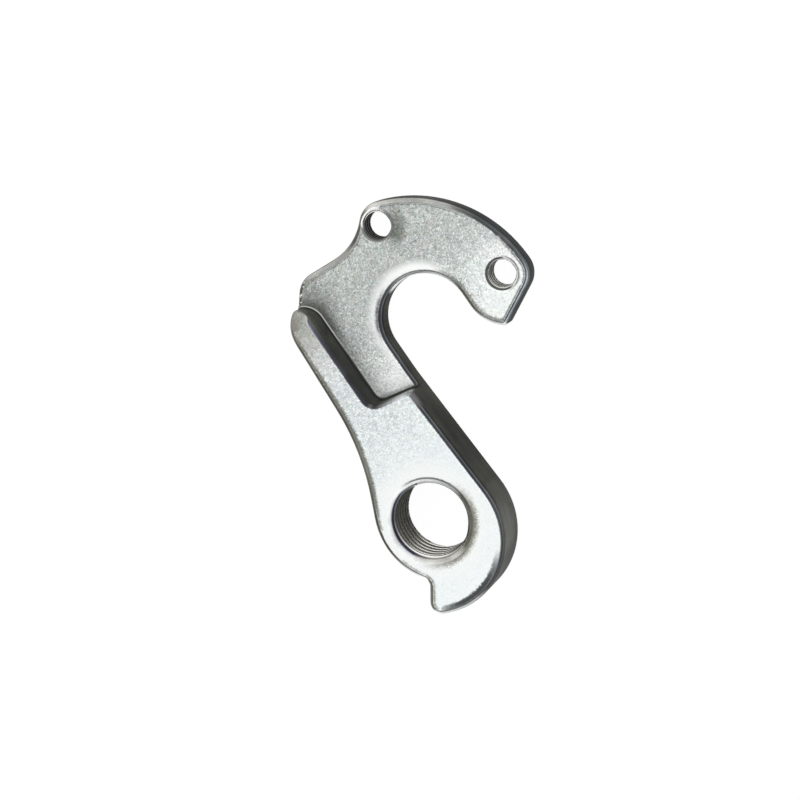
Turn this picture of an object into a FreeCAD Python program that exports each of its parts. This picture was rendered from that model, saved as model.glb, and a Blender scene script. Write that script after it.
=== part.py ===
import FreeCAD, Part
import math
import os
import Sketcher

# A replaceable rear derailleur hanger of a bicycle frame, machined in one piece.
# The origin is on the axis of the derailleur thread, half way through the arm.
# The flat back faces -Z and the outer face +Z. The arm runs along +Y, the hook
# with the axle slot is towards +X and the slot opens towards -Y. Heights in the
# sketches are counted from the back. Sizes are in mm, leans and slopes in degrees.

SIZES = {
    # Thicknesses and edges
    "arm_thickness": 6.5,
    "hook_thickness": 2.8,
    "front_rounding": 0.65,
    "foot_rounding": 0.3,
    "back_chamfer": 0.35,
    # Thread for the derailleur bolt, M10 x 1, at its crests
    "bolt_thread_radius": 4.5,
    "bolt_mouth_radius": 5.15,
    "bolt_mouth_rounding": 0.8,
    "bolt_exit_chamfer": 0.5,
    # Lobe round the derailleur thread
    "lobe_radius": 9.65,
    "lobe_x": -1.6,
    "lobe_y": -1.3,
    # Heel on its other side, a wall away from the mouth of the thread
    "heel_radius": 9.0,
    "heel_wall": 1.6,
    # Stop lug of the derailleur and the notch above it
    "lug_radius": 1.4,
    "lug_x": -4.9,
    "lug_lean": 35.5,
    "notch_radius": 0.9,
    # Axle slot, whose inner side lies behind the edge of the lobe
    "slot_radius": 5.4,
    "slot_inset": 0.9,
    "slot_y": 19.95,
    # Threads for the two frame screws, M4, at their crests, placed from the slot
    "screw_thread_radius": 1.62,
    "screw_mouth_radius": 2.0,
    "upper_screw_right": 1.55,
    "upper_screw_above": 12.35,
    "outer_screw_right": 5.45,
    "outer_screw_below": 0.75,
    # Hook round the slot, with a boss near each screw
    "boss_radius": 2.9,
    "upper_boss_right": 0.5,
    "upper_boss_below": 0.35,
    "outer_boss_right": 0.35,
    "outer_boss_below": 0.3,
    "hook_radius": 16.9,
    # Free end of the hook
    "finger_straight": 1.75,
    "finger_bend": 5.2,
    "finger_tip_radius": 0.8,
    "finger_edge_rise": 26.6,
    # Sides of the arm
    "flank_lean": 3.1,
    "flank_bend": 45.0,
    "back_edge_lean": 2.8,
    "back_edge_offset": 2.86,
    "waist_lean": 25.0,
    "waist_bend": 29.0,
    # Shoulder above the arm, placed from the upper screw, and the saddle next to it
    "shoulder_radius": 3.0,
    "shoulder_x": 3.35,
    "shoulder_below": 2.97,
    "shoulder_slope": 50.0,
    "shoulder_bend": 7.0,
    "top_edge_lean": 4.4,
    "saddle_radius": 7.2,
    # Step between the thick arm and the thin hook
    "step_x": 1.8,
    "step_corner_radius": 1.4,
    "step_leg_y": 13.0,
    "step_leg_lean": 10.8,
    "step_end_below": 2.03,
    "step_end_bend": 2.6,
    "step_margin": 2.0,
    # Nose: the raised end of the arm falls off in an arc that ends just above the hook
    "nose_foot": 0.75,
    "nose_end": 0.52,
}

# Places as sums of sizes, along X and along Y. The heel's centre is on the X axis,
# and the lug's height follows from the lobe that it touches.

LOBE = ["lobe_x"], ["lobe_y"]
HEEL = ["heel_radius", "-bolt_mouth_radius", "-heel_wall"], []
LUG = ["lug_x"], None
SLOT = ["lobe_x", "lobe_radius", "-slot_inset", "slot_radius"], ["slot_y"]
SLOT_SIDE = SLOT[0] + ["slot_radius"], SLOT[1] + ["-finger_straight"]
UPPER_SCREW = SLOT[0] + ["upper_screw_right"], SLOT[1] + ["upper_screw_above"]
OUTER_SCREW = SLOT_SIDE[0] + ["outer_screw_right"], SLOT[1] + ["-outer_screw_below"]
UPPER_BOSS = UPPER_SCREW[0] + ["upper_boss_right"], UPPER_SCREW[1] + ["-upper_boss_below"]
OUTER_BOSS = OUTER_SCREW[0] + ["outer_boss_right"], OUTER_SCREW[1] + ["-outer_boss_below"]
SHOULDER = ["shoulder_x"], UPPER_SCREW[1] + ["-shoulder_below"]
STEP_START = SLOT[0], ["step_leg_y"]
STEP_END = ["step_x"], SHOULDER[1] + ["-step_end_below"]
STEP_CORNER = (OUTER_BOSS[0] + ["boss_radius", "step_margin"],
               UPPER_BOSS[1] + ["boss_radius", "step_margin"])
NOSE_RADIUS = ["arm_thickness", "-hook_thickness", "-nose_foot"]
NOSE_START = SHOULDER[1] + ["nose_end", "-arm_thickness", "hook_thickness", "nose_foot"]


def total(terms):
    """Sum of sizes. A minus sign takes a size away."""
    return sum(-SIZES[term[1:]] if term.startswith("-") else SIZES[term] for term in terms)


def formula(terms):
    """The same sum for the sheet."""
    signed = ["-sizes." + term[1:] if term.startswith("-") else "sizes." + term for term in terms]
    return " + ".join(["0"] + signed)


def point_of(place):
    return FreeCAD.Vector(total(place[0]), total(place[1]), 0)


UP = FreeCAD.Vector(0, 0, 1)
ORIGIN = FreeCAD.Vector(0, 0, 0)

# Curves of an outline. Each touches the next. The solid is on their left. The
# bend of an arc is its radius, negative where the arc is hollow.

def toward(degrees):
    angle = math.radians(degrees)
    return FreeCAD.Vector(math.cos(angle), math.sin(angle), 0)


def arc(centre, size, outward=1, place=None):
    """An arc whose centre is held at a place, or by its neighbours."""
    return {"centre": centre, "bend": outward * SIZES[size], "size": size, "place": place}


def placed_arc(place, size, outward=1):
    return arc(point_of(place), size, outward, place)


def heading(base, sign, lean):
    """Direction of a straight edge, with the formula that holds it."""
    degrees = base + sign * SIZES[lean]
    lean_formula = "%g deg %+g deg * sizes.%s" % (base, sign, lean)
    return {"normal": toward(degrees - 90), "formula": lean_formula}


def upright(sign):
    """Direction of a straight edge along Y, up or down."""
    return {"normal": toward(0) * sign, "upright": True}


def straight(point, direction):
    return dict(direction, point=point)


def straight_from(round_part, direction):
    return straight(round_part["centre"] + direction["normal"] * round_part["bend"], direction)


def centre_path(curve, bend):
    """Where the centre of a blend can lie that touches the curve."""
    if "centre" in curve:
        return Part.Circle(curve["centre"], UP, abs(curve["bend"] - bend))
    start = curve["point"] - curve["normal"] * bend
    return Part.Line(start, start + UP.cross(curve["normal"]))


def blend(before, after, size, outward, near):
    """An arc that touches both neighbours. Its centre is the one nearest to a point."""
    bend = outward * SIZES[size]
    meets = centre_path(before, bend).intersect(centre_path(after, bend))
    centres = [FreeCAD.Vector(meet.X, meet.Y, 0) for meet in meets]
    return arc(min(centres, key=near.distanceToPoint), size, outward)


def touch(first, second):
    """Point where two neighbours touch."""
    if "centre" in first and "centre" in second:
        normal = (second["centre"] - first["centre"]) / (first["bend"] - second["bend"])
        return first["centre"] + normal * first["bend"]
    round_part, side = (first, second) if "centre" in first else (second, first)
    return round_part["centre"] + side["normal"] * round_part["bend"]


def drawn(curve, start, end):
    if "centre" not in curve:
        return Part.LineSegment(start, end)
    if curve["bend"] < 0:
        start, end = end, start
    spokes = [point - curve["centre"] for point in (start, end)]
    angles = [math.atan2(spoke.y, spoke.x) for spoke in spokes]
    return Part.ArcOfCircle(Part.Circle(curve["centre"], UP, abs(curve["bend"])), *angles)


# Outline of the hanger, anticlockwise in four stretches

def front_curves(lobe):
    """From the lobe up the front of the arm and round the axle slot."""
    slot = placed_arc(SLOT, "slot_radius", -1)
    flank = straight_from(lobe, heading(90, 1, "flank_lean"))
    slot_inner = straight_from(slot, upright(1))
    return {
        "lobe": lobe,
        "flank": flank,
        "flank_bend": blend(flank, slot_inner, "flank_bend", -1, slot_inner["point"]),
        "slot_inner": slot_inner,
        "slot": slot,
    }


def finger_curves(outer_boss):
    """Down the outer side of the slot and round the free end of the hook."""
    bend_start = point_of(SLOT_SIDE)
    finger_bend = arc(bend_start + toward(0) * SIZES["finger_bend"], "finger_bend")
    finger_edge = straight_from(outer_boss, heading(0, 1, "finger_edge_rise"))
    return {
        "slot_outer": straight(bend_start, upright(-1)),
        "finger_bend": finger_bend,
        "finger_tip": blend(finger_bend, finger_edge, "finger_tip_radius", 1, bend_start),
        "finger_edge": finger_edge,
        "outer_boss": outer_boss,
    }


def hook_curves(outer_boss, shoulder):
    """Along the outside of the hook and its top to the shoulder."""
    upper_boss = placed_arc(UPPER_BOSS, "boss_radius")
    top_edge = straight_from(shoulder, heading(180, -1, "top_edge_lean"))
    return {
        "hook": blend(outer_boss, upper_boss, "hook_radius", 1, ORIGIN),
        "upper_boss": upper_boss,
        "saddle": blend(upper_boss, top_edge, "saddle_radius", -1, top_edge["point"]),
        "top_edge": top_edge,
        "shoulder": shoulder,
    }


def back_curves(shoulder, lobe):
    """From the shoulder down the back of the arm to the stop lug."""
    shoulder_side = straight_from(shoulder, heading(-180, 1, "shoulder_slope"))
    back_direction = heading(-90, -1, "back_edge_lean")
    back_edge = straight(back_direction["normal"] * SIZES["back_edge_offset"], back_direction)
    heel = placed_arc(HEEL, "heel_radius")
    waist = straight_from(heel, heading(-90, -1, "waist_lean"))
    lug = arc(lug_centre(lobe), "lug_radius", place=LUG)
    lug_edge = straight_from(lug, heading(-90, -1, "lug_lean"))
    return {
        "shoulder_side": shoulder_side,
        "shoulder_bend": blend(shoulder_side, back_edge, "shoulder_bend", 1, shoulder["centre"]),
        "back_edge": back_edge,
        "waist_bend": blend(back_edge, waist, "waist_bend", -1, heel["centre"]),
        "waist": waist,
        "heel": heel,
        "notch": blend(heel, lug_edge, "notch_radius", -1, lug["centre"]),
        "lug_edge": lug_edge,
        "lug": lug,
    }


def lug_centre(lobe):
    """The lug touches the lobe from inside."""
    reach = SIZES["lobe_radius"] - SIZES["lug_radius"]
    aside = SIZES["lug_x"] - lobe["centre"].x
    below = math.sqrt(reach ** 2 - aside ** 2)
    return lobe["centre"] + FreeCAD.Vector(aside, -below, 0)


# Sketches

START, END, CENTRE = 1, 2, 3
X_AXIS = -1
ROOT = (-1, 1)


def new_sketch(name, plane_role="XY_Plane", height=None):
    sketch = body.newObject("Sketcher::SketchObject", name)
    plane = next(item for item in body.Origin.OriginFeatures if item.Role == plane_role)
    sketch.AttachmentSupport = [(plane, "")]
    sketch.MapMode = "FlatFace"
    if height:
        sketch.setExpression("AttachmentOffset.Base.z", height)
    return sketch


def fix(sketch, kind, *where, bound=None):
    """Add a constraint. A size is bound to a formula of the sheet."""
    index = sketch.addConstraint(Sketcher.Constraint(kind, *where))
    if bound:
        sketch.setExpression("Constraints[%d]" % index, bound)


def fix_point(sketch, point, place, base=ROOT):
    """Hold a point at a place, measured from the origin or another point."""
    offset = sketch.getPoint(*point) - sketch.getPoint(*base)
    across, along = place
    if across:
        fix(sketch, "DistanceX", *base, *point, offset.x, bound=formula(across))
    if along:
        fix(sketch, "DistanceY", *base, *point, offset.y, bound=formula(along))
    elif along == []:
        fix(sketch, "PointOnObject", *point, X_AXIS)


def head(curve):
    return END if curve.get("bend", 1) < 0 else START


def tail(curve):
    return START if curve.get("bend", 1) < 0 else END


def hold(sketch, index, curve):
    """Bind the sizes and the direction of one curve."""
    if "centre" in curve:
        fix(sketch, "Radius", index, abs(curve["bend"]), bound=formula([curve["size"]]))
        if curve["place"]:
            fix_point(sketch, (index, CENTRE), curve["place"])
    elif "upright" in curve:
        fix(sketch, "Vertical", index)
    else:
        angle = math.atan2(curve["normal"].x, -curve["normal"].y)
        fix(sketch, "Angle", index, angle, bound=curve["formula"])


def draw_outline(sketch):
    lobe = placed_arc(LOBE, "lobe_radius")
    outer_boss = placed_arc(OUTER_BOSS, "boss_radius")
    shoulder = placed_arc(SHOULDER, "shoulder_radius")
    curves = front_curves(lobe)
    curves.update(finger_curves(outer_boss))
    curves.update(hook_curves(outer_boss, shoulder))
    curves.update(back_curves(shoulder, lobe))
    order = list(curves)
    chain = list(curves.values())
    count = len(chain)

    points = [touch(chain[index - 1], chain[index]) for index in range(count)]
    for index, curve in enumerate(chain):
        sketch.addGeometry(drawn(curve, points[index], points[(index + 1) % count]))
    for index, curve in enumerate(chain):
        after = (index + 1) % count
        fix(sketch, "Tangent", index, tail(curve), after, head(chain[after]))
    for index, curve in enumerate(chain):
        hold(sketch, index, curve)
    fix(sketch, "Distance", *ROOT, order.index("back_edge"), SIZES["back_edge_offset"],
        bound="sizes.back_edge_offset")
    fix_point(sketch, (order.index("slot_outer"), END), (None, SLOT_SIDE[1]))


def draw_recess(sketch):
    """The step wall, closed by straights that run outside the outline."""
    leg_start = point_of(STEP_START)
    wall_end = point_of(STEP_END)
    leg = straight(leg_start, heading(180, -1, "step_leg_lean"))
    wall = straight(wall_end, upright(1))
    corner = blend(leg, wall, "step_corner_radius", -1, wall_end)
    end = arc(wall_end - toward(0) * SIZES["step_end_bend"], "step_end_bend")
    end_top = end["centre"] + toward(90) * SIZES["step_end_bend"]

    chain = [leg, corner, wall, end]
    points = [leg_start, touch(leg, corner), touch(corner, wall), wall_end, end_top]
    for index, curve in enumerate(chain):
        sketch.addGeometry(drawn(curve, points[index], points[index + 1]))
        hold(sketch, index, curve)
    for index in range(3):
        fix(sketch, "Tangent", index, tail(chain[index]), index + 1, head(chain[index + 1]))
    fix_point(sketch, (0, START), STEP_START)
    fix_point(sketch, (2, END), STEP_END)
    fix(sketch, "Vertical", 3, CENTRE, 3, END)

    far = point_of(STEP_CORNER)
    outside = [FreeCAD.Vector(end_top.x, far.y, 0), far, FreeCAD.Vector(far.x, leg_start.y, 0)]
    close_squarely(sketch, 3, [end_top] + outside + [leg_start])
    fix_point(sketch, (5, END), STEP_CORNER)


def close_squarely(sketch, last, points):
    """Close the drawing with straights along the axes, from the end of its last curve."""
    for start, end in zip(points, points[1:]):
        line = sketch.addGeometry(Part.LineSegment(start, end))
        fix(sketch, "Coincident", last, END, line, START)
        fix(sketch, "Vertical" if abs(start.x - end.x) < NEAR else "Horizontal", line)
        last = line
    fix(sketch, "Coincident", last, END, 0, START)


def draw_nose(sketch):
    """Side view of what the nose loses: all that lies outside its arc."""
    radius = total(NOSE_RADIUS)
    centre = FreeCAD.Vector(total(NOSE_START), SIZES["arm_thickness"] - radius, 0)
    across = FreeCAD.Vector(radius + SIZES["step_margin"], 0, 0)
    above = FreeCAD.Vector(0, 2 * radius, 0)
    arc_start = centre + toward(0) * radius
    arc_end = centre + toward(90) * radius

    sketch.addGeometry(Part.ArcOfCircle(Part.Circle(centre, UP, radius), 0, math.pi / 2))
    outside = [centre + above, centre + above + across, centre + across]
    close_squarely(sketch, 0, [arc_end] + outside + [arc_start])
    fix(sketch, "Radius", 0, radius, bound=formula(NOSE_RADIUS))
    fix(sketch, "Vertical", 0, CENTRE, 0, END)
    fix(sketch, "Horizontal", 0, CENTRE, 0, START)
    fix_point(sketch, (0, END), (NOSE_START, ["arm_thickness"]))
    fix_point(sketch, (2, END), (NOSE_RADIUS + ["step_margin"], NOSE_RADIUS * 2), (0, CENTRE))


def draw_circle(sketch, size, place=None):
    """A circle at a place, or at the origin."""
    centre = point_of(place) if place else ORIGIN
    index = sketch.addGeometry(Part.Circle(centre, UP, SIZES[size]))
    fix(sketch, "Radius", index, SIZES[size], bound=formula([size]))
    if place:
        fix_point(sketch, (index, CENTRE), place)
    else:
        fix(sketch, "Coincident", *ROOT, index, CENTRE)


# Solid features

NEAR = 1e-4


def add_feature(kind, name, profile, **bounds):
    feature = body.newObject("PartDesign::" + kind, name)
    feature.Profile = profile
    for key, bound in bounds.items():
        feature.setExpression(key, bound)
    document.recompute()
    return feature


def add_hole(name, profile, thread_size, mouth_size):
    """Through holes with a conical mouth on the side of their sketch."""
    hole = add_feature("Hole", name, profile)
    hole.DepthType = "ThroughAll"
    hole.HoleCutType = "Countersink"
    hole.HoleCutCountersinkAngle = 90
    hole.setExpression("Diameter", formula([thread_size] * 2))
    hole.setExpression("HoleCutDiameter", formula([mouth_size] * 2))
    document.recompute()
    return hole


def dress(kind, name, base, test, **bounds):
    """Round or chamfer those edges of the base feature that pass a test."""
    feature = body.newObject("PartDesign::" + kind, name)
    edges = enumerate(base.Shape.Edges, 1)
    feature.Base = (base, ["Edge%d" % number for number, edge in edges if test(edge)])
    for key, bound in bounds.items():
        feature.setExpression(key, bound)
    document.recompute()
    return feature


def lies_at(edge, height):
    box = edge.BoundBox
    return abs(box.ZMin - height) < NEAR and abs(box.ZMax - height) < NEAR


def has_wall_above(edge, shape):
    """True where a wall of the solid rises next to the edge."""
    reach = 1.2 * SIZES["foot_rounding"]
    middle = (edge.FirstParameter + edge.LastParameter) / 2
    aside = edge.tangentAt(middle).normalize().cross(UP) * reach
    above = edge.valueAt(middle) + UP * reach
    return any(shape.isInside(above + side, NEAR, True) for side in (aside, -aside))


def is_foot(edge):
    return lies_at(edge, SIZES["hook_thickness"]) and has_wall_above(edge, nose.Shape)


def is_front_edge(edge):
    """Edges of the arm's face and of the hook's rim, without the foot of the step."""
    if lies_at(edge, SIZES["hook_thickness"]):
        return not has_wall_above(edge, foot_blend.Shape)
    return lies_at(edge, SIZES["arm_thickness"])


def is_bolt_edge(edge, height):
    on_axis = edge.CenterOfMass.distanceToPoint(UP * height) < NEAR
    return on_axis and lies_at(edge, height)


def check(feature):
    if "Invalid" in feature.State or "Error" in feature.State:
        raise RuntimeError("%s did not build: %s" % (feature.Name, feature.State))


document = FreeCAD.newDocument("derailleur_hanger")
sheet = document.addObject("Spreadsheet::Sheet", "sizes")
for row, (name, value) in enumerate(SIZES.items(), 1):
    sheet.set("A%d" % row, name)
    sheet.set("B%d" % row, str(value))
    sheet.setAlias("B%d" % row, name)
document.recompute()

body = document.addObject("PartDesign::Body", "hanger")
body.Label = "hanger"
body.setExpression("Placement.Base.z", "-sizes.arm_thickness / 2")

# Blank of the full thickness
outline = new_sketch("outline")
draw_outline(outline)
blank = add_feature("Pad", "blank", outline, Length="sizes.arm_thickness")

# The hook is thinner than the arm
step = new_sketch("step", height="sizes.arm_thickness")
draw_recess(step)
recess = add_feature("Pocket", "recess", step,
                     Length="sizes.arm_thickness - sizes.hook_thickness")

# The raised end of the arm falls off in an arc
nose_side = new_sketch("nose_side", "YZ_Plane")
draw_nose(nose_side)
nose = add_feature("Pocket", "nose", nose_side, Length="2 * sizes.arm_thickness")
nose.Midplane = True
document.recompute()

# Edges all round
foot_blend = dress("Fillet", "foot_blend", nose, is_foot, Radius="sizes.foot_rounding")
front_edges = dress("Fillet", "front_edges", foot_blend, is_front_edge,
                    Radius="sizes.front_rounding")
back_edges = dress("Chamfer", "back_edges", front_edges, lambda edge: lies_at(edge, 0),
                   Size="sizes.back_chamfer")

# Thread for the derailleur bolt
bolt_circle = new_sketch("bolt_circle", height="sizes.arm_thickness")
draw_circle(bolt_circle, "bolt_thread_radius")
bolt_hole = add_hole("bolt_hole", bolt_circle, "bolt_thread_radius", "bolt_mouth_radius")
bolt_exit = dress("Chamfer", "bolt_exit", bolt_hole, lambda edge: is_bolt_edge(edge, 0),
                  Size="sizes.bolt_exit_chamfer")
dress("Fillet", "bolt_mouth_edge", bolt_exit,
      lambda edge: is_bolt_edge(edge, SIZES["arm_thickness"]),
      Radius="sizes.bolt_mouth_rounding")

# Threads for the frame screws
screw_circles = new_sketch("screw_circles", height="sizes.hook_thickness")
draw_circle(screw_circles, "screw_thread_radius", UPPER_SCREW)
draw_circle(screw_circles, "screw_thread_radius", OUTER_SCREW)
add_hole("screw_holes", screw_circles, "screw_thread_radius", "screw_mouth_radius")

for item in document.Objects:
    check(item)
if body.Shape.isNull() or not body.Shape.isValid():
    raise RuntimeError("the hanger is not a valid solid")
os.makedirs("parts", exist_ok=True)
body.Shape.exportStep("parts/hanger.step")
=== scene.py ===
import bmesh
import bpy
import math
from mathutils import Matrix, Vector, kdtree


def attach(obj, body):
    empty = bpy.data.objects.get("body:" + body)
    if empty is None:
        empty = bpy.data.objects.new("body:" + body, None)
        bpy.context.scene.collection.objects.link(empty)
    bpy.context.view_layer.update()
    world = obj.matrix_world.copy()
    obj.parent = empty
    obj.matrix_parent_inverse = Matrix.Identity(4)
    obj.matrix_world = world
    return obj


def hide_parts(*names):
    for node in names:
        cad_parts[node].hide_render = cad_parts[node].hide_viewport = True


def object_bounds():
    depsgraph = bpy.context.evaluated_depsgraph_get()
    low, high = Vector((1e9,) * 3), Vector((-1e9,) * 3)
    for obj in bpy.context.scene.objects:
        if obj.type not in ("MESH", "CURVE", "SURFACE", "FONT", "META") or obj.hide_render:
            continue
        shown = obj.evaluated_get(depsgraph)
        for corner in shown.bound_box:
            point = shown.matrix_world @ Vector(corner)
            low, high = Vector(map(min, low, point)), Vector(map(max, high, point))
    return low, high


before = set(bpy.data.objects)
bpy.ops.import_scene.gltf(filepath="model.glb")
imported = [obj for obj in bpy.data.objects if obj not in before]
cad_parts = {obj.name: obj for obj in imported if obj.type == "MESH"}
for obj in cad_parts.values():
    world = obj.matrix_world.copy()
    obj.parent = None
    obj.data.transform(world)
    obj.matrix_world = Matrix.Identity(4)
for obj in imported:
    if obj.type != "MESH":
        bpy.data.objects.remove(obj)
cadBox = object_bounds()
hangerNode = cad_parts["hanger"]
mm = 0.001
backFace, plateFace, armFace = -3.25, -0.45, 3.25  # heights of the three flat faces, mm
print("frame loaded")


# Node helpers

class Signal:
    # one socket that ordinary arithmetic can be done with
    def __init__(self, net, socket):
        self.net = net
        self.socket = socket

    def combine(self, operation, first, second):
        return self.net.add("ShaderNodeMath", {"operation": operation}, [first, second])

    def __add__(self, other):
        return self.combine("ADD", self, other)

    def __radd__(self, other):
        return self.combine("ADD", other, self)

    def __sub__(self, other):
        return self.combine("SUBTRACT", self, other)

    def __rsub__(self, other):
        return self.combine("SUBTRACT", other, self)

    def __mul__(self, other):
        return self.combine("MULTIPLY", self, other)

    def __rmul__(self, other):
        return self.combine("MULTIPLY", other, self)

    def __truediv__(self, other):
        return self.combine("DIVIDE", self, other)

    def __rtruediv__(self, other):
        return self.combine("DIVIDE", other, self)

    def atLeast(self, other):
        return self.combine("MAXIMUM", self, other)

    def atMost(self, other):
        return self.combine("MINIMUM", self, other)

    def absolute(self):
        return self.combine("ABSOLUTE", self, 0)

    def power(self, other):
        return self.combine("POWER", self, other)

    def clamped(self):
        return self.atLeast(0).atMost(1)


class Net:
    # a node tree with one method for adding any node
    def __init__(self, tree):
        self.tree = tree

    def node(self, kind, settings=None, inputs=None):
        made = self.tree.nodes.new(kind)
        for key, value in (settings or {}).items():
            if key == "stops":
                self.setStops(made.color_ramp, value)
            else:
                setattr(made, key, value)
        pairs = enumerate(inputs) if isinstance(inputs, list) else (inputs or {}).items()
        for key, value in pairs:
            if isinstance(value, Signal):
                self.tree.links.new(value.socket, made.inputs[key])
            else:
                made.inputs[key].default_value = value
        return made

    def add(self, kind, settings=None, inputs=None, output=0):
        return Signal(self, self.node(kind, settings, inputs).outputs[output])

    def setStops(self, ramp, stops):
        ramp.elements[0].position = stops[0][0]
        ramp.elements[-1].position = stops[-1][0]
        for place, colour in stops[1:-1]:
            ramp.elements.new(place)
        for element, (place, colour) in zip(ramp.elements, stops):
            element.color = (*colour, 1)

    def ramp(self, value, stops):
        # a colour that follows a value, whose stops may lie at any places
        first, last = stops[0][0], stops[-1][0]
        span = last - first
        evened = [((place - first) / span, colour) for place, colour in stops]
        return self.add("ShaderNodeValToRGB", {"stops": evened}, [(value - first) / span])

    def smooth(self, value, absent, full):
        # 0 at and before the first value, 1 from the second on, with soft ends; either may be the larger
        return self.add("ShaderNodeMapRange", {"interpolation_type": "SMOOTHSTEP"},
                        {"Value": value, "From Min": absent, "From Max": full})

    def mixColour(self, mask, first, second, blend="MIX"):
        made = self.node("ShaderNodeMix", {"data_type": "RGBA", "blend_type": blend})
        for place, value in ((0, mask), (6, first), (7, second)):
            if isinstance(value, Signal):
                self.tree.links.new(value.socket, made.inputs[place])
            elif place == 0:
                made.inputs[place].default_value = value
            else:
                made.inputs[place].default_value = (*value, 1)
        return Signal(self, made.outputs[2])

    def scaled(self, colour, level, share=1.0):
        # a colour made lighter or darker by a value
        grey = self.add("ShaderNodeCombineColor", None, [level, level, level])
        return self.mixColour(share, colour, grey, "MULTIPLY")


# Threads, cut as helical grooves into a copy of the hanger. Lengths are in mm

threads = {
    "segmentsPerTurn": 72,
    "overrun": 0.6,      # how far a groove runs past each face
    "rootFlat": 0.125,   # width of the groove's floor, in pitches
    "innerReach": 0.22,  # how far the cutter starts inside the crests, in pitches
    "flankAngle": 30,
    "holes": [
        {"centre": (0.0, 0.0), "top": armFace, "crest": 4.5, "root": 4.97, "pitch": 1.0, "rim": 6.2},
        {"centre": (14.1, 32.3), "top": plateFace, "crest": 1.62, "root": 1.93, "pitch": 0.7, "rim": 2.4},
        {"centre": (23.4, 19.2), "top": plateFace, "crest": 1.62, "root": 1.93, "pitch": 0.7, "rim": 2.4},
    ],
}


def makeGrooveTree():
    # a trapezium swept along a helix, taken away from the geometry that comes in
    tree = bpy.data.node_groups.new("helicalGroove", "GeometryNodeTree")
    tree.is_modifier = True
    tree.interface.new_socket("Geometry", in_out="INPUT", socket_type="NodeSocketGeometry")
    for name, default in (("Crest Radius", 0.0045), ("Root Radius", 0.005), ("Pitch", 0.001),
                          ("Inner Reach", 0.0002), ("Root Flat", 0.0001), ("Turns", 7.0)):
        socket = tree.interface.new_socket(name, in_out="INPUT", socket_type="NodeSocketFloat")
        socket.default_value = default
    tree.interface.new_socket("Centre", in_out="INPUT", socket_type="NodeSocketVector")
    tree.interface.new_socket("Segments", in_out="INPUT", socket_type="NodeSocketInt")
    tree.interface.new_socket("Finish", in_out="INPUT", socket_type="NodeSocketMaterial")
    tree.interface.new_socket("Geometry", in_out="OUTPUT", socket_type="NodeSocketGeometry")

    net = Net(tree)
    entry = tree.nodes.new("NodeGroupInput")
    given = {socket.name: Signal(net, socket) for socket in entry.outputs if socket.name}
    crest = given["Crest Radius"]
    root = given["Root Radius"]
    inner = crest - given["Inner Reach"]
    halfRoot = given["Root Flat"] * 0.5
    halfMouth = halfRoot + (root - inner) * math.tan(math.radians(threads["flankAngle"]))
    helix = net.add("GeometryNodeCurveSpiral", None, {
        "Resolution": given["Segments"], "Rotations": given["Turns"],
        "Start Radius": crest, "End Radius": crest,
        "Height": given["Turns"] * given["Pitch"]})
    upright = net.add("GeometryNodeSetCurveNormal", {"mode": "Z_UP"}, {"Curve": helix})

    def corner(across, along):
        return net.add("ShaderNodeCombineXYZ", None, {"X": across, "Y": along})

    profile = net.add("GeometryNodeCurvePrimitiveQuadrilateral", {"mode": "POINTS"}, {
        "Point 1": corner(inner - crest, 0 - halfMouth),
        "Point 2": corner(root - crest, 0 - halfRoot),
        "Point 3": corner(root - crest, halfRoot),
        "Point 4": corner(inner - crest, halfMouth)})
    sweep = net.add("GeometryNodeCurveToMesh", None,
                    {"Curve": upright, "Profile Curve": profile, "Fill Caps": True})
    placed = net.add("GeometryNodeTransform", None, {"Geometry": sweep, "Translation": given["Centre"]})
    cut = net.add("GeometryNodeMeshBoolean", {"operation": "DIFFERENCE", "solver": "EXACT"},
                  {"Mesh 1": given["Geometry"], "Mesh 2": placed})
    whole = net.add("GeometryNodeRealizeInstances", None, {"Geometry": cut})
    painted = net.add("GeometryNodeSetMaterial", None, {"Geometry": whole, "Material": given["Finish"]})
    leave = tree.nodes.new("NodeGroupOutput")
    tree.links.new(painted.socket, leave.inputs[0])
    return tree


def setInputs(modifier, values):
    # inputs are set by identifier
    for item in modifier.node_group.interface.items_tree:
        if item.in_out == "INPUT" and item.name in values:
            modifier[item.identifier] = values[item.name]


def settled(source, name):
    # the evaluated piece as a plain mesh in a new object
    graph = bpy.context.evaluated_depsgraph_get()
    mesh = bpy.data.meshes.new_from_object(source.evaluated_get(graph))
    made = bpy.data.objects.new(name, mesh)
    bpy.context.scene.collection.objects.link(made)
    bpy.data.objects.remove(source)
    return made


def cutThreads(body, material):
    tree = makeGrooveTree()
    for index, hole in enumerate(threads["holes"]):
        x, y = hole["centre"]
        pitch = hole["pitch"]
        depth = hole["top"] - backFace + 2 * threads["overrun"]
        modifier = body.modifiers.new("thread%d" % index, "NODES")
        modifier.node_group = tree
        setInputs(modifier, {
            "Crest Radius": hole["crest"] * mm, "Root Radius": hole["root"] * mm,
            "Pitch": pitch * mm, "Inner Reach": threads["innerReach"] * pitch * mm,
            "Root Flat": threads["rootFlat"] * pitch * mm, "Turns": depth / pitch,
            "Centre": (x * mm, y * mm, (backFace - threads["overrun"]) * mm),
            "Segments": threads["segmentsPerTurn"], "Finish": material})
    return settled(body, "hangerThreaded")


# Distances to the rims, for the painted sheen round the slot and the painted light and shade along the rims.
# Lengths are in mm

rims = {
    "cell": 0.40,        # spacing of the points on the flat faces
    "cutGap": 0.00001,
    "sample": 0.15,      # spacing of the points on the rims
    "flat": 0.9995,      # normals steeper than this belong to a rounding
    "slotCentre": (12.55, 19.95),
    "slotReach": 6.3,
    "slotFoot": 14.2,
    "noseStart": 26.9,   # where the arm's face begins to fall, not a rim
    "noseGap": 0.02,
    "ways": {"rimLeft": 200, "rimLight": 118, "rimLow": -45},
}
pictureRight = (0.805, -0.593)
pictureUp = (0.593, 0.805)


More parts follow.
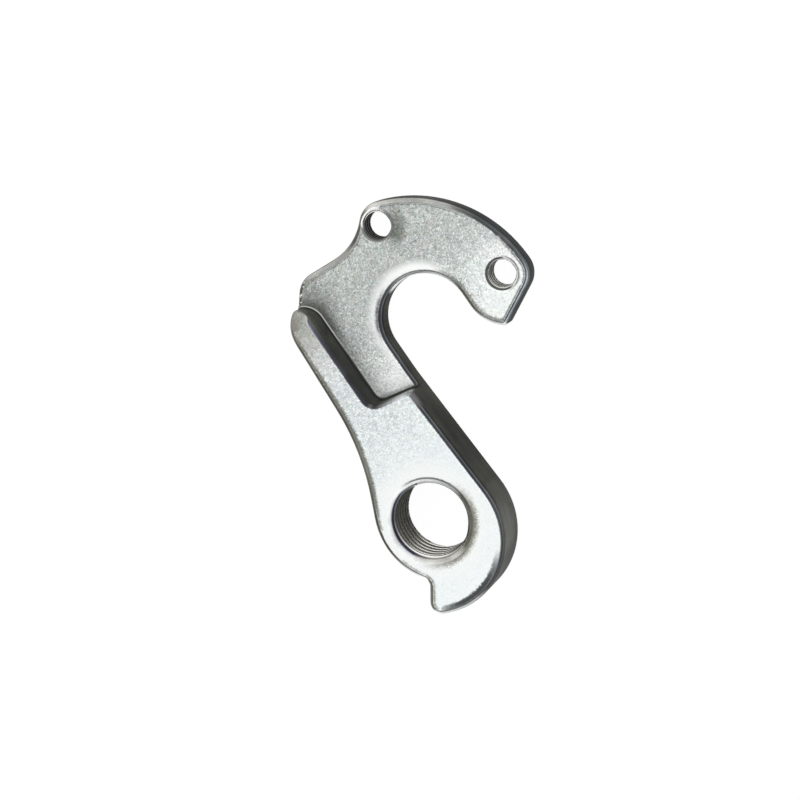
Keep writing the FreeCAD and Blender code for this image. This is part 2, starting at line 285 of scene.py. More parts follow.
def pictureWay(angle):
    # a direction of the picture, anticlockwise from its right, as one of the object
    turn = math.radians(angle)
    return Vector([math.cos(turn) * across + math.sin(turn) * upwards
                   for across, upwards in zip(pictureRight, pictureUp)])


def gridFlatFaces(mesh):
    # cuts the flat faces into small cells, so that they can carry distances
    low, high = cadBox
    step = rims["cell"] * mm
    for axis in (0, 1):
        for index in range(1, int((high[axis] - low[axis]) / step) + 1):
            place = Vector((0, 0, 0))
            place[axis] = low[axis] + index * step
            direction = Vector((0, 0, 0))
            direction[axis] = 1
            flat = [face for face in mesh.faces if abs(face.normal.z) > rims["flat"]]
            edges = {edge for face in flat for edge in face.edges}
            corners = {corner for face in flat for corner in face.verts}
            bmesh.ops.bisect_plane(mesh, geom=[*corners, *edges, *flat], dist=rims["cutGap"] * mm,
                                   plane_co=place, plane_no=direction)


def rimKind(point):
    # the slot's rim or the outer one; a hole's rim has no kind, because nothing reads it
    x, y = point.x / mm, point.y / mm
    for hole in threads["holes"]:
        if math.hypot(x - hole["centre"][0], y - hole["centre"][1]) < hole["rim"]:
            return None
    slotX, slotY = rims["slotCentre"]
    besideSlot = math.hypot(x - slotX, max(y - slotY, 0)) < rims["slotReach"]
    return "rimSlot" if besideSlot and y > rims["slotFoot"] else "rimOuter"


def rimPoints(mesh):
    # points where a flat face rounds off, with the way that the rim faces, sorted by kind
    found = {"rimSlot": [], "rimOuter": [], "rimFoot": []}
    for edge in mesh.edges:
        flat = [face for face in edge.link_faces if abs(face.normal.z) >= rims["flat"]]
        steep = [face for face in edge.link_faces if abs(face.normal.z) < rims["flat"]]
        if len(flat) != 1 or len(steep) != 1:
            continue
        start, end = (corner.co for corner in edge.verts)
        if max(abs(point.y / mm - rims["noseStart"]) for point in (start, end)) < rims["noseGap"]:
            continue
        rise = (steep[0].calc_center_median().z - start.z) * flat[0].normal.z
        way = steep[0].normal.xy.normalized()
        count = max(1, math.ceil((end - start).length / (rims["sample"] * mm)))
        for index in range(count):
            point = start.lerp(end, index / count)
            kind = "rimFoot" if rise > 0 else rimKind(point)
            if kind:
                found[kind].append((point, way))
    return found


def addRimDistances(body):
    mesh = bmesh.new()
    mesh.from_mesh(body.data)
    gridFlatFaces(mesh)
    found = rimPoints(mesh)
    layers = {name: mesh.verts.layers.float.new(name) for name in [*found, *rims["ways"]]}
    for kind, points in found.items():
        tree = kdtree.KDTree(len(points))
        for index, (point, way) in enumerate(points):
            tree.insert(point, index)
        tree.balance()
        for corner in mesh.verts:
            nearest, index, gap = tree.find(corner.co)
            corner[layers[kind]] = gap / mm
            if kind == "rimOuter":
                for name, angle in rims["ways"].items():
                    corner[layers[name]] = points[index][1].dot(pictureWay(angle))
    mesh.to_mesh(body.data)
    mesh.free()


# Finish, with painted light and shade

# A mark is full where all of its ranges are. A range names a measure, then the value where the mark is absent
# and the one where it is full. In mm: x, y, z, reach from a centre, the distances to the rims and rollHeight.
# From -1 to 1: rise, the upward part of the surface's direction, and up, the same without its sign; facing,
# how far a side turns to one way of the picture; beside, how far a place lies that way from a centre;
# rimLeft, rimLight and rimLow, how far the nearest outer rim turns to its way
bolt, upperHole, outerHole = (hole["centre"] for hole in threads["holes"])
slotCentre = rims["slotCentre"]
stepCorner = (4.6, 13.0)
onArm = ("z", 0.3, 2.4)
onPlate = ("z", 2.4, 0.3)
byStep = [("x", 6.8, 6.5), ("y", 12.2, 12.6), ("z", -0.4498, -0.4490), ("facing", 73, 0.1, 0.4)]
lightTurn = 106  # where the light comes from in the picture, degrees
highlightColour = (0.98, 1.0, 0.98)
white = (1.0, 1.0, 1.0)
# the colour of the painted shade along the arm's rims and beside the finger
rimOlive = (0.105, 0.105, 0.080)

finishAndPaintedLight = {
    # noises, and how strongly each shows
    "noises": {
        "grain": {"Scale": 3000.0, "Detail": 2.0, "Roughness": 0.65, "Distortion": 1.6},
        "cloud": {"Scale": 420.0, "Detail": 3.0, "Roughness": 0.6},
        "slow": {"Scale": 170.0, "Detail": 2.0, "Roughness": 0.5},
        "tint": {"Scale": 1260.0, "Detail": 2.0, "Roughness": 0.5},
        "specks": {"Scale": 2600.0, "Detail": 1.0, "Roughness": 0.5},
        "streaks": {"Scale": 1.0, "Detail": 3.0, "Roughness": 0.6},
    },
    "streakStretch": (200, 200, 3200),
    "pits": {"scale": 2700.0, "edge": (0.12, 0.62), "level": 0.45, "share": 0.20},
    "grain": 2.1,
    "cloud": 0.24,
    "flecks": {"edge": (0.54, 0.64), "level": 0.2, "share": 0.10},
    "tint": 0.04,
    "bump": {"Strength": 0.35, "Distance": 0.00004},
    "bumpPits": 0.6,
    # where the grain is calmer, as the share that is lost
    "calm": {"arm": 0.30, "bolt": 0.54, "worn": 0.4, "hookEnd": 0.4, "lowPlate": 0.35},
    "calmBolt": ("y", 13.0, 4.0),
    "calmPlate": [("y", 19.0, 16.0), onPlate],
    # how much the grain frays the marks along a rim, mm
    "ragged": {"outer": 0.5, "even": 0.15, "slot": 0.5, "foot": 0.3, "bolt": 1.2},
    "roughness": 0.42,
    "metal": 0.7,
    "metalLoss": {"share": 0.45, "where": [("up", 0.97, 0.8)]},
    "metalGain": 0.6,

    # broad colours along the part, by y, with painted light and shade: lighter towards the lug and the hook's
    # neck, darker towards the nose and the saddle
    "arm": [(-9, (0.95, 1.0, 1.0)), (8, (0.86, 0.91, 0.91)), (15, (0.79, 0.84, 0.84)),
            (20.5, (0.73, 0.77, 0.77)), (22, (0.74, 0.77, 0.76)), (25, (0.57, 0.58, 0.56)),
            (27, (0.44, 0.45, 0.42)), (29, (0.44, 0.45, 0.42))],
    "plate": [(13, (0.98, 1.0, 0.98)), (16.8, (0.98, 1.0, 0.99)), (18.5, (0.81, 0.85, 0.83)),
              (21, (0.65, 0.685, 0.67)), (27, (0.545, 0.575, 0.56)), (31, (0.55, 0.58, 0.555)),
              (35, (0.52, 0.545, 0.52))],
    "back": {"colour": (0.62, 0.65, 0.64), "grain": 0.55, "where": [("z", -1.0, -2.8)]},

    # marks on the plate, under the grain: painted light at the hook's end and round the outer hole, painted
    # shade at the shoulder, and a darker patch beside the upper hole
    "hookEnd": {"colour": (0.89, 0.94, 0.92), "where": [("x", 17, 21.5), ("y", 26.5, 16.5)]},
    "shoulder": {"colour": (0.27, 0.28, 0.26), "share": 0.75, "where": [("reach", (1.8, 29.0), 4.2, 1.0)]},
    # a darker, clouded patch beside the upper screw hole
    "rubbed": {"colour": (0.17, 0.18, 0.16), "share": 0.95, "clouded": (2.2, -0.1),
               "where": [("reach", upperHole, 4.4, 2.4), ("beside", upperHole, 3, 0.45, 1.0)]},
    "outerGlow": {"colour": highlightColour, "share": 0.5,
                  "where": [("reach", outerHole, 4.6, 2.2), ("beside", outerHole, 60, -0.6, 0.6)]},
    # the painted sheen round the slot, then the painted highlight and the painted shade round the large hole
    "wear": {"cloud": 0.9, "grain": 1.0, "edge": (1.15, -0.1), "wider": 0.35, "least": 0.68, "more": 0.3,
             "where": [("y", 16.0, 20.5), ("x", 19.0, 16.5)]},
    "wearWider": ("beside", slotCentre, 150, 0.3, 1.0),
    "wearMore": ("beside", slotCentre, 86, 0.3, 0.95),
    "polish": {"colour": highlightColour, "share": 0.7, "where": [("reach", bolt, 8.5, 5.5), onArm]},
    "boltShade": {"colour": (0.15, 0.14, 0.095), "share": 0.9,
                  "where": [("raggedBolt", 6.25, 5.35), ("beside", bolt, -20, 0.0, 0.9), onArm]},

    # painted shade along the rims of the faces and round the small holes, and a painted highlight on the
    # upper hole's crescent
    "armRim": {"share": 0.85, "where": [("armRim", 0.44, 0.0), ("rimLeft", 0.3, 0.9), onArm]},
    "armRimBrown": {"colour": (0.16, 0.145, 0.105), "where": [("y", 19.0, 26.0)]},
    "armRimNarrower": {"upper": 0.2, "lower": 0.2, "lowerFrom": ("y", 7.0, 2.0), "all": -0.1},
    "rimLine": {"colour": (0.15, 0.15, 0.14), "share": 0.7,
                "where": [("raggedRim", 0.02, 0.08), ("raggedRim", 0.26, 0.14), ("rimLight", 0.45, 0.85),
                          onPlate]},
    "rimShade": {"colour": (0.085, 0.092, 0.098), "share": 0.8,
                 "where": [("evenRim", 0.22, 0.0), ("rimLight", 0.55, 0.2), ("rimLeft", 0.2, -0.4), onPlate]},
    "lobeShade": {"colour": (0.034, 0.036, 0.040), "share": 0.95,
                  "where": [("raggedRim", 0.56, 0.30), ("rimLow", 0.72, 0.98), ("y", 0, -4), onArm]},
    "footShade": {"colour": (0.12, 0.125, 0.11), "share": 0.75,
                  "where": [("raggedFoot", 1.5, 0.0), ("y", 21.0, 26.0)]},
    "endShade": {"share": 0.65, "where": [("rimFoot", 0.45, 0.0), ("y", 16.0, 15.0)]},
    "slotShade": {"colour": (0.080, 0.080, 0.120), "share": 0.9,
                  "where": [("raggedSlot", 0.42, 0.0), ("beside", slotCentre, 178, 0.82, 1.0), onPlate]},
    "fingerShade": {"colour": rimOlive, "share": 0.75,
                    "where": [("fingerRim", 0.45, 0.0), ("y", 25.0, 22.0), ("x", 16.5, 17.5),
                              ("x", 20.8, 20.0), onPlate]},
    "upperRing": {"colour": (0.13, 0.13, 0.125), "share": 0.6,
                  "where": [("reach", upperHole, 2.28, 2.08), ("beside", upperHole, 15, 0.1, 0.8), onPlate]},
    "outerRing": {"colour": (0.13, 0.13, 0.125), "share": 0.8,
                  "where": [("reach", outerHole, 2.28, 2.08), ("beside", outerHole, 15, 0.1, 0.8), onPlate]},
    "upperCrescent": {"colour": white, "where": [("reach", upperHole, 2.36, 2.12),
                                                 ("beside", upperHole, 135, 0.45, 0.85), onPlate]},

    # colours over the roundings and sides, by up, the later ones over the earlier: painted light and shade by
    # the way each faces, with painted highlights and reflections as light strips
    "shaded": [(0.0, (0.044, 0.045, 0.038)), (0.28, (0.044, 0.045, 0.038)), (0.42, (0.030, 0.031, 0.030)),
               (0.58, (0.080, 0.084, 0.086)), (0.68, (0.190, 0.200, 0.210)), (0.76, (0.090, 0.094, 0.102)),
               (0.88, (0.046, 0.049, 0.056)), (0.96, (0.060, 0.064, 0.072)), (1.0, (0.24, 0.25, 0.25))],
    "hookSide": {"where": [("x", 15.5, 17.5)], "overUp": [
        (0.0, (0.030, 0.034, 0.034)), (0.20, (0.036, 0.041, 0.041)), (0.40, (0.090, 0.098, 0.100)),
        (0.56, (0.165, 0.180, 0.185)), (0.72, (0.130, 0.142, 0.148)), (0.86, (0.085, 0.093, 0.100)),
        (0.96, (0.070, 0.077, 0.084)), (1.0, (0.22, 0.23, 0.24))]},
    "lobeSide": {"where": [("y", -1.0, -6.0)], "overUp": [
        (0.0, (0.085, 0.086, 0.078)), (0.28, (0.085, 0.086, 0.078)), (0.55, (0.060, 0.062, 0.060)),
        (0.72, (0.085, 0.088, 0.090)), (0.88, (0.034, 0.036, 0.040)), (1.0, (0.20, 0.21, 0.21))]},
    "boltMouth": {"where": [("reach", bolt, 5.5, 5.35)], "overUp": [
        (0.0, (0.070, 0.071, 0.064)), (0.42, (0.065, 0.066, 0.062)), (0.56, (0.045, 0.046, 0.085)),
        (0.68, (0.26, 0.26, 0.33)), (0.80, (0.92, 0.96, 0.97)), (1.0, (0.98, 1.0, 1.0))]},
    "stepSide": {"where": byStep, "overUp": [
        (0.0, (0.044, 0.045, 0.040)), (0.30, (0.050, 0.051, 0.047)), (0.60, (0.062, 0.063, 0.064)),
        (0.85, (0.052, 0.052, 0.064)), (0.95, (0.080, 0.080, 0.105)), (1.0, (0.25, 0.25, 0.28))]},
    "leftSide": {"where": [("facing", 180, 0.05, 0.75)], "overUp": [
        (0.0, (0.17, 0.17, 0.15)), (0.30, (0.13, 0.13, 0.11)), (0.62, (0.10, 0.10, 0.08)),
        (0.72, (0.26, 0.25, 0.22)), (0.80, (0.12, 0.118, 0.095)), (0.95, (0.115, 0.115, 0.090)),
        (1.0, (0.26, 0.26, 0.22))]},
    "underSide": {"where": [("facing", -88, 0.60, 0.95)], "overUp": [
        (0.0, (0.13, 0.13, 0.12)), (0.30, (0.10, 0.10, 0.09)), (0.44, (0.60, 0.61, 0.61)),
        (0.56, (1.0, 1.0, 1.0)), (0.82, (0.95, 0.97, 0.97)), (0.92, (0.12, 0.13, 0.13)),
        (1.0, (0.34, 0.36, 0.36))]},
    "litSide": {"where": [("facing", lightTurn, 0.70, 1.02), ("reach", stepCorner, 3.0, 4.2)], "overUp": [
        (0.0, (0.065, 0.065, 0.060)), (0.25, (0.065, 0.065, 0.060)), (0.38, (0.24, 0.24, 0.22)),
        (0.60, (0.80, 0.79, 0.74)), (0.90, (0.68, 0.68, 0.64)), (1.0, (0.52, 0.52, 0.50))]},
    # marks on the roundings and sides: painted shade and a painted glint at the slot's end, a painted
    # highlight along the finger, streaks with painted light and shade, and painted glint specks
    "slotEnd": [("reach", slotCentre, 6.5, 6.2), ("facing", -62, 0.84, 0.95), ("y", 19.5, 21.0),
                ("rise", -0.3, -0.1)],
    "slotEdge": {"colour": (0.13, 0.14, 0.14), "share": 0.75, "where": [("up", 0.94, 0.80)]},
    "slotGlint": {"colour": white, "where": [("up", 0.62, 0.45), ("z", -2.0, -1.7)]},
    "fingerLine": {"colour": (0.55, 0.62, 0.68), "share": 0.8,
                   "where": [("up", 0.70, 0.78), ("up", 0.92, 0.86), ("y", 20.5, 16.5), ("x", 19.0, 20.0),
                             ("facing", -10, 0.5, 0.8)]},
    "worn": {"streaks": 0.9, "cloud": 0.7, "grain": 0.5, "lobe": 0.45, "slow": 0.6, "least": 0.8,
             "step": 1.1, "saddle": 0.4},
    "wornLobe": ("y", 0.2, -0.8),
    "wornSlow": (0.35, 0.65),
    "wornStep": [*byStep, ("facing", 35, 0.6, 0.9), ("y", 17.0, 28.0)],
    "wornSaddle": [("facing", lightTurn, 0.7, 1.0), ("x", 13.0, 10.5), onPlate],
    "specks": {"colour": (0.9, 0.9, 0.88), "edge": (0.56, 0.64),
               "where": [("facing", 178, 0.6, 0.9), ("rise", 0.45, 0.6), ("y", 27.4, 28.2), ("x", 3.0, 2.0),
                         ("z", 0.2, -0.2)]},

    # painted light on the upper part of the step's end, as if it rolled over, and on its right corner; the
    # nose falls off and the foot runs into the plate, both with painted shade, and a painted highlight runs
    # along the foot
    "roll": {"share": 0.9, "where": [("reach", stepCorner, 4.2, 3.0), ("facing", 112, 0.55, 0.95),
                                     ("rollHeight", 0.0, 1.8)]},
    "rollLean": (0.4, 3.9),  # rise across the step's end, and the height where the roll begins
    "blunt": {"colour": (0.25, 0.24, 0.25), "share": 0.7,
              "where": [("y", 11.2, 12.8), ("x", 6.0, 6.8), ("z", 2.3, 2.8)]},
    "nose": [(0.0, (0.16, 0.16, 0.14)), (0.35, (0.34, 0.34, 0.31)), (0.70, (0.58, 0.585, 0.55)),
             (1.0, (0.56, 0.565, 0.53))],
    "noseTop": {"where": [("up", 0.55, 0.97)]},
    "noseBrown": {"colour": (0.19, 0.165, 0.125), "share": 0.6, "where": [("x", 0.8, -0.6)]},
    "noseFall": {"where": [("y", 26.0, 27.0), ("z", -0.3, 0.3), ("facing", 118, 0.55, 0.9)]},
    "foot": [(-0.45, (0.24, 0.25, 0.23)), (-0.42, (0.13, 0.135, 0.12)), (-0.36, (0.040, 0.041, 0.036)),
             (-0.15, (0.040, 0.041, 0.036))],  # by z
    "footLine": {"colour": (0.50, 0.51, 0.47), "where": [("y", 21.5, 25.5), ("z", -0.365, -0.395)]},
    "inFoot": {"where": [("z", -0.10, -0.16), *byStep]},
    "flatEdge": (0.995, 0.965),  # up, where a face's colour gives way to its rounding's
    "flatFray": 0.04,
    "flatBack": {"share": 0.12, "where": [("z", -2.8, -3.2)]},

    # inside the holes, with painted light and shade: a dark wall for the bolt's thread, its roots painted
    # lighter and its flanks evened against their light and shade, painted light on its lit side and a lit
    # patch, painted shade at its lip, and painted highlights on one side of the screw holes' mouths
    "inBolt": [("reach", bolt, 5.06, 5.0), ("z", 2.5, 2.3), ("up", 0.99, 0.95)],
    "threadCrest": (0.10, 0.10, 0.09),
    "threadRoot": {"colour": (0.46, 0.455, 0.42), "where": [("reach", bolt, 4.48, 4.62)]},
    "threadRootLit": {"colour": (0.85, 0.83, 0.78), "where": [("facing", 70, 0.55, 0.95)]},
    "threadLit": {"colour": (0.95, 0.93, 0.88), "way": 88, "ragged": 0.1, "edge": (0.66, 0.98)},
    "flankSoftening": {"share": 0.45, "where": [("facing", 70, 0.9, 0.4)]},
    "threadLip": {"colour": (0.055, 0.056, 0.070), "share": 0.85,
                  "where": [("reach", bolt, 4.80, 4.66), ("z", 1.9, 2.2), ("facing", 70, 0.7, 0.2)]},
    "slotShine": [("facing", -80, 0.5, 0.9), ("rise", 0.40, 0.50), ("up", 0.92, 0.86), onPlate],
    "wornThread": {"colour": (0.36, 0.37, 0.36), "lit": (0.82, 0.82, 0.76),
                   "where": [("facing", 75, 0.2, 0.85)]},
    "screwHoles": [
        {"centre": upperHole, "brightWay": -55, "mouth": (0.30, 0.31, 0.29), "thread": (0.15, 0.156, 0.15)},
        # a thread of None takes the thread with painted light on its lit side
        {"centre": outerHole, "brightWay": 200, "mouth": (0.13, 0.13, 0.13), "thread": None},  # wornThread
    ],
    "screwHoleRim": ((2.3, 2.1), ("z", -0.48, -0.46)),
    "screwHoleReach": (2.06, 1.98),
    "aboveBack": ("z", -3.24, -3.2),
    "brightSide": (0.25, 0.55),
    "belowPlate": ("z", -0.46, -0.48),
    "belowMouth": ("z", -0.80, -0.84),
    "aboveThread": ("z", -0.84, -0.80),
}


class Surface:
    # what the finish and its painted light and shade are worked out from: the surface's place and direction,
    # its rims and its noises
    def __init__(self, net):
        self.net = net
        coordinates = net.node("ShaderNodeTexCoord")
        self.place = Signal(net, coordinates.outputs["Object"])
        xyz = net.node("ShaderNodeSeparateXYZ", None, {"Vector": self.place})
        normal = Signal(net, coordinates.outputs["Normal"])
        normals = net.node("ShaderNodeSeparateXYZ", None, {"Vector": normal})
        x, y, z = (Signal(net, output) / mm for output in xyz.outputs)
        self.normalX, self.normalY, rise = (Signal(net, output) for output in normals.outputs)
        self.sideways = self.length(self.normalX, self.normalY)
        self.measures = {"x": x, "y": y, "z": z, "rise": rise, "up": rise.absolute()}
        for name in ("rimSlot", "rimOuter", "rimFoot", *rims["ways"]):
            self.measures[name] = net.add("ShaderNodeAttribute", {"attribute_name": name}, None, output="Fac")
        self.grain = self.noise("grain")
        self.cloud = self.noise("cloud")
        cells = net.add("ShaderNodeTexVoronoi", None,
                        {"Vector": self.place, "Scale": finishAndPaintedLight["pits"]["scale"]})
        self.pits = net.smooth(cells, *finishAndPaintedLight["pits"]["edge"])
        self.addRaggedRims()

    def __getitem__(self, name):
        return self.measures[name]

    def addRaggedRims(self):
        # distances that the grain frays
        ragged = finishAndPaintedLight["ragged"]
        narrower = finishAndPaintedLight["armRimNarrower"]
        upper = self.where(finishAndPaintedLight["armRimBrown"]["where"]) * narrower["upper"]
        lower = self.where([narrower["lowerFrom"]]) * narrower["lower"]
        across, begin = finishAndPaintedLight["rollLean"]
        frayed = self.frayed
        self.measures["raggedRim"] = frayed(self["rimOuter"], ragged["outer"])
        self.measures["armRim"] = self["raggedRim"] + (upper + lower + narrower["all"])
        self.measures["evenRim"] = frayed(self["rimOuter"], ragged["even"])
        self.measures["raggedFoot"] = frayed(self["rimFoot"], ragged["foot"])
        self.measures["raggedSlot"] = frayed(self["rimSlot"], ragged["slot"])
        self.measures["fingerRim"] = frayed(self["rimSlot"].atMost(self["rimOuter"]), ragged["slot"])
        self.measures["raggedBolt"] = frayed(self.reach(bolt), ragged["bolt"])
        self.measures["rollHeight"] = self["z"] + self["x"] * across - begin

    def length(self, across, along):
        return (across * across + along * along + 0.000001).power(0.5)  # never quite 0

    def frayed(self, value, amount):
        return value + (self.grain - 0.5) * amount

    def noise(self, name, output=0, place=None):
        inputs = {"Vector": place or self.place, **finishAndPaintedLight["noises"][name]}
        return self.net.add("ShaderNodeTexNoise", None, inputs, output=output)

    def facing(self, angle):
        # how far a side faces one way of the picture, from -1 to 1
        way = pictureWay(angle)
        return (self.normalX * way.x + self.normalY * way.y) / self.sideways

    def reach(self, centre):
        return self.length(self["x"] - centre[0], self["y"] - centre[1])

    def beside(self, centre, angle):
        # how far a place lies from a centre in one way of the picture, from -1 to 1
        way = pictureWay(angle)
        across = (self["x"] - centre[0]) * way.x + (self["y"] - centre[1]) * way.y
        return across / self.reach(centre)

    def where(self, ranges):
        # 1 where every range is full, 0 where one of them is absent
        share = None
        for kind, *which, absent, full in ranges:
            value = getattr(self, kind)(*which) if which else self[kind]
            part = self.net.smooth(value, absent, full)
            share = part if share is None else share * part
        return share

    def paint(self, under, name, colour=None, extra=1.0):
        # lays one of the marks, of the finish or of painted light and shade, over a colour
        mark = finishAndPaintedLight[name]
        mask = self.where(mark["where"])
        if "clouded" in mark:
            gain, offset = mark["clouded"]
            mask = (mask * (self.cloud * gain + offset)).clamped()
        if "overUp" in mark:
            colour = self.net.ramp(self["up"], mark["overUp"])
        return self.net.mixColour(mask * mark.get("share", 1.0) * extra, under, colour or mark["colour"])


def grainLevel(surface, worn):
    # the grain of the blasted surface as a value round 1, calmer round the bolt and under the painted sheen
    # round the slot
    net, calm, pits, flecks = surface.net, finishAndPaintedLight["calm"], finishAndPaintedLight["pits"], finishAndPaintedLight["flecks"]
    raised = surface.where([onArm])
    hookEnd = surface.where(finishAndPaintedLight["hookEnd"]["where"])
    amount = 1 - raised * (surface.where([finishAndPaintedLight["calmBolt"]]) * calm["bolt"] + calm["arm"])
    amount = amount * (1 - worn * calm["worn"]) * (1 - hookEnd * calm["hookEnd"])
    amount = amount * (1 - surface.where(finishAndPaintedLight["calmPlate"]) * calm["lowPlate"])
    light = (surface.grain - 0.5) * finishAndPaintedLight["grain"] + (pits["level"] - surface.pits) * pits["share"]
    light = light + (surface.cloud - 0.5) * finishAndPaintedLight["cloud"]
    light = light + (net.smooth(surface.grain, *flecks["edge"]) - flecks["level"]) * flecks["share"]
    return light * amount + 1


def slotSheenLevel(surface):
    # how strongly the plate carries the painted sheen round the slot
    wear = finishAndPaintedLight["wear"]
    wider = surface.where([finishAndPaintedLight["wearWider"]]) * wear["wider"]
    gap = surface["rimSlot"] + (surface.cloud - 0.5) * wear["cloud"] + (surface.grain - 0.5) * wear["grain"]
    return surface.net.smooth(gap - wider, *wear["edge"]) * surface.where(wear["where"])


def faceColour(surface, worn, light):
    # the flat faces, with the grain, painted light and shade, the painted sheen and the painted shade along
    # their rims
    net, wear = surface.net, finishAndPaintedLight["wear"]
    # the broad colours along y carry painted light and shade
    plate = net.ramp(surface["y"], finishAndPaintedLight["plate"])
    for name in ("hookEnd", "shoulder", "rubbed", "outerGlow"):
        plate = surface.paint(plate, name)
    tone = net.mixColour(surface.where([onArm]), plate, net.ramp(surface["y"], finishAndPaintedLight["arm"]))
    tone = net.scaled(tone, light)
    tone = net.mixColour(finishAndPaintedLight["tint"], tone, surface.noise("tint", "Color"), "LINEAR_LIGHT")
    # the painted sheen round the slot, then the painted highlight and the painted shade round the large hole
    sheenShare = surface.where([finishAndPaintedLight["wearMore"]]) * wear["more"] + wear["least"]
    tone = net.mixColour(worn * sheenShare, tone, highlightColour)
    tone = surface.paint(tone, "polish")
    tone = surface.paint(tone, "boltShade")
    brown = surface.where(finishAndPaintedLight["armRimBrown"]["where"])
    tone = surface.paint(tone, "armRim", net.mixColour(brown, rimOlive, finishAndPaintedLight["armRimBrown"]["colour"]))
    for name in ("rimLine", "rimShade", "lobeShade"):
        tone = surface.paint(tone, name)
    foot, end = finishAndPaintedLight["footShade"], finishAndPaintedLight["endShade"]
    shade = surface.where(foot["where"]).atLeast(surface.where(end["where"]) * end["share"])
    tone = net.mixColour(shade * surface.where([onPlate]) * foot["share"], tone, foot["colour"])
    for name in ("slotShade", "fingerShade", "upperRing", "outerRing", "upperCrescent"):
        tone = surface.paint(tone, name)
    back = finishAndPaintedLight["back"]
    return net.mixColour(surface.where(back["where"]), tone, net.scaled(back["colour"], light, back["grain"]))


def sideStreaksAndLight(surface):
    # streaks and patches along the sides, with painted light on the lobe's and the step's sides and painted
    # shade on the saddle's lit sides, as a value round 1
    net, worn = surface.net, finishAndPaintedLight["worn"]
    stretched = net.add("ShaderNodeMapping", None,
                        {"Vector": surface.place, "Scale": finishAndPaintedLight["streakStretch"]})
    level = (surface.noise("streaks", place=stretched) - 0.5) * worn["streaks"]
    level = level + (surface.cloud - 0.5) * worn["cloud"] + (surface.grain - 0.5) * worn["grain"] + 1
    level = level + surface.where([finishAndPaintedLight["wornLobe"]]) * (1 - surface["up"]) * worn["lobe"]
    level = level * (net.smooth(surface.noise("slow"), *finishAndPaintedLight["wornSlow"]) * worn["slow"] + worn["least"])
    level = level * (surface.where(finishAndPaintedLight["wornStep"]) * worn["step"] + 1)
    return level * (1 - surface.where(finishAndPaintedLight["wornSaddle"]) * worn["saddle"])


def sideColour(surface, tone, light):
    # the roundings and sides, with painted light and shade by their steepness and the way they face
    net = surface.net
    edge = net.ramp(surface["up"], finishAndPaintedLight["shaded"])
    for name in ("hookSide", "lobeSide", "boltMouth", "stepSide", "leftSide", "underSide", "litSide"):
        edge = surface.paint(edge, name)
    # painted shade and a painted glint at the slot's end, and a painted highlight along the finger
    slotEnd = surface.where(finishAndPaintedLight["slotEnd"])
    edge = surface.paint(edge, "slotEdge", extra=slotEnd)
    edge = surface.paint(edge, "slotGlint", extra=slotEnd)
    edge = surface.paint(edge, "fingerLine")
    edge = net.scaled(edge, sideStreaksAndLight(surface))
    # painted glint specks on the rounding by the shoulder
    specks = net.smooth(surface.noise("specks"), *finishAndPaintedLight["specks"]["edge"])
    edge = surface.paint(edge, "specks", extra=specks)
    # painted light on the step's end and its right corner, then painted shade on the nose and the foot with a
    # painted highlight along the foot
    edge = surface.paint(edge, "roll", tone)
    edge = surface.paint(edge, "blunt")
    nose = net.scaled(net.ramp(surface["up"], finishAndPaintedLight["nose"]), light)
    nose = surface.paint(nose, "noseTop", tone)
    nose = surface.paint(nose, "noseBrown")
    edge = surface.paint(edge, "noseFall", nose)
    foot = surface.paint(net.ramp(surface["z"], finishAndPaintedLight["foot"]), "footLine")
    return surface.paint(edge, "inFoot", foot)


def addBoltThread(surface, colour):
    # the bolt's thread, with painted light on its lit side and against the shade of its grooves, as (colour,
    # shine)
    net, lit, soft = surface.net, finishAndPaintedLight["threadLit"], finishAndPaintedLight["flankSoftening"]
    inBolt = surface.where(finishAndPaintedLight["inBolt"])
    root = surface.paint(finishAndPaintedLight["threadRoot"]["colour"], "threadRootLit")
    inside = surface.paint(finishAndPaintedLight["threadCrest"], "threadRoot", root)
    patch = net.smooth(surface.frayed(surface.facing(lit["way"]), lit["ragged"]), *lit["edge"])
    inside = net.mixColour(patch, inside, lit["colour"])
    inside = net.scaled(inside, 1 - surface["rise"] * surface.where(soft["where"]) * soft["share"])
    colour = surface.paint(net.mixColour(inBolt, colour, inside), "threadLip")
    return colour, (patch * inBolt).atLeast(surface.where(finishAndPaintedLight["slotShine"]))


def addScrewHoles(surface, colour, shine, tone):
    # the countersunk mouths and threads of the two small holes, with a painted highlight on one side of each
    # mouth, as (colour, shine)
    net = surface.net
    wornThread = surface.paint(finishAndPaintedLight["wornThread"]["colour"], "wornThread", finishAndPaintedLight["wornThread"]["lit"])
    rimReach, rimHeight = finishAndPaintedLight["screwHoleRim"]
    for hole in finishAndPaintedLight["screwHoles"]:
        centre = hole["centre"]
        onRim = surface.where([("reach", centre, *rimReach), rimHeight])
        colour = net.mixColour(onRim, colour, tone)
        near = surface.where([("reach", centre, *finishAndPaintedLight["screwHoleReach"]), finishAndPaintedLight["aboveBack"]])
        bright = surface.where([("facing", hole["brightWay"], *finishAndPaintedLight["brightSide"])])
        inMouth = near * surface.where([finishAndPaintedLight["belowPlate"]])
        colour = net.mixColour(inMouth, colour, net.mixColour(bright, hole["mouth"], white))
        inThread = near * surface.where([finishAndPaintedLight["belowMouth"]])
        colour = net.mixColour(inThread, colour, hole["thread"] or wornThread)
        shine = shine + inMouth * bright * surface.where([finishAndPaintedLight["aboveThread"]])
    return colour, shine


